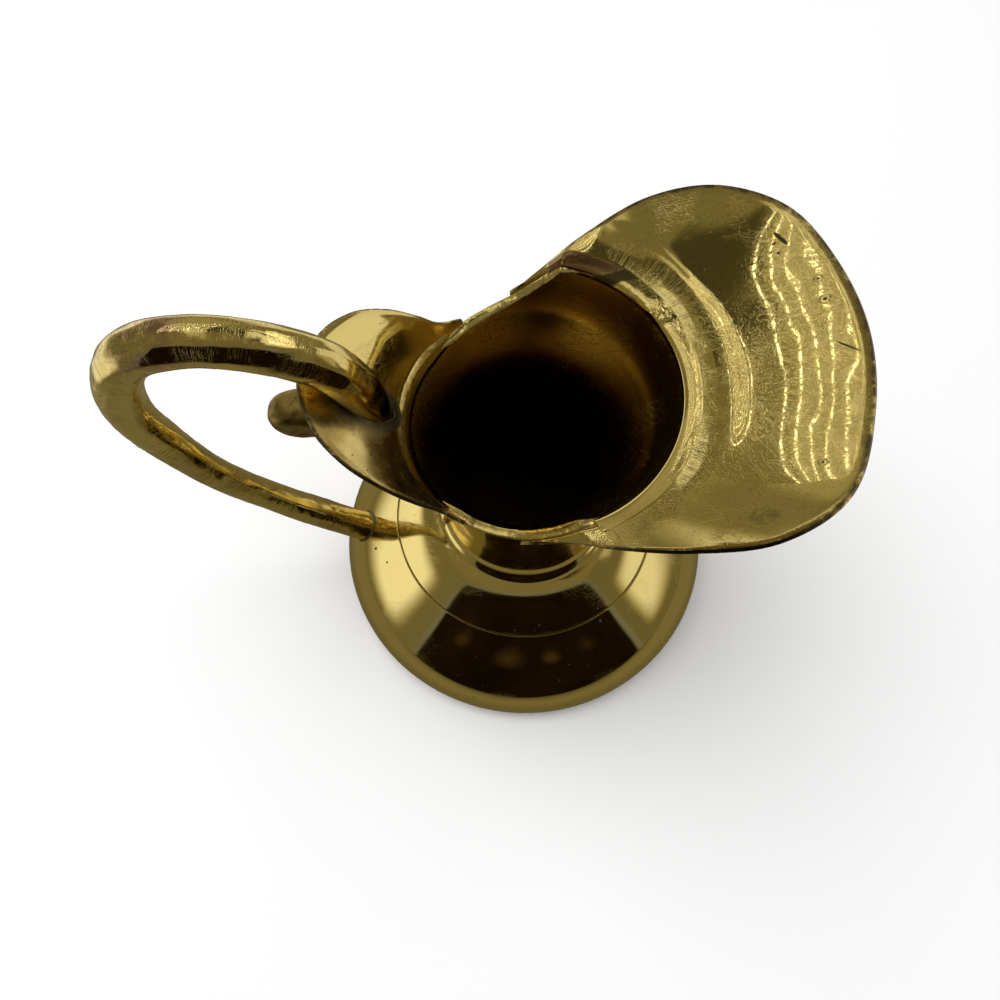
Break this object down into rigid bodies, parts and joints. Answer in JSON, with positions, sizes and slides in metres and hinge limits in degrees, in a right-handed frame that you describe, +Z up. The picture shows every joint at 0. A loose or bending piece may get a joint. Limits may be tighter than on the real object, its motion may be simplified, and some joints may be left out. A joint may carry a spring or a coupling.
{
  "type": "brass pitcher",
  "caption": "Squat round brass pitcher with a straight neck, broad flared pouring lip, rear lobe and spur, and an arched round-bar handle.",
  "frame": {"origin": "middle of the flat underside of the base, on the axis of the body", "axes": "+X towards the pouring lip, with the handle at -X; +Y across; +Z up along the neck"},
  "size_m": [0.1802, 0.1308, 0.1439],
  "materials": {
    "base_brass": "dull and stained",
    "body_brass": "worn polish",
    "neck_brass": "worn polish",
    "spout_brass": "hammered, worn polish",
    "lobe_brass": "worn polish with pits",
    "handle_brass": "filed, worn polish",
    "spur_brass": "aged, dull",
    "braze": "rough, copper coloured",
    "soft_solder": "dull grey solder"
  },
  "bodies": {
    "root": {"base_disc": "base_brass", "base_seam_solder": "soft_solder", "body_bowl": "body_brass", "shoulder_seam_solder": "soft_solder", "shoulder_and_neck": "neck_brass", "spout": "spout_brass", "spout_braze": "braze", "rear_lobe": "lobe_brass", "rear_lobe_braze": "braze", "handle": "handle_brass", "handle_upper_solder": "soft_solder", "handle_lower_solder": "soft_solder", "rear_spur": "spur_brass", "rear_spur_braze": "braze"}
  },
  "joints": []
}
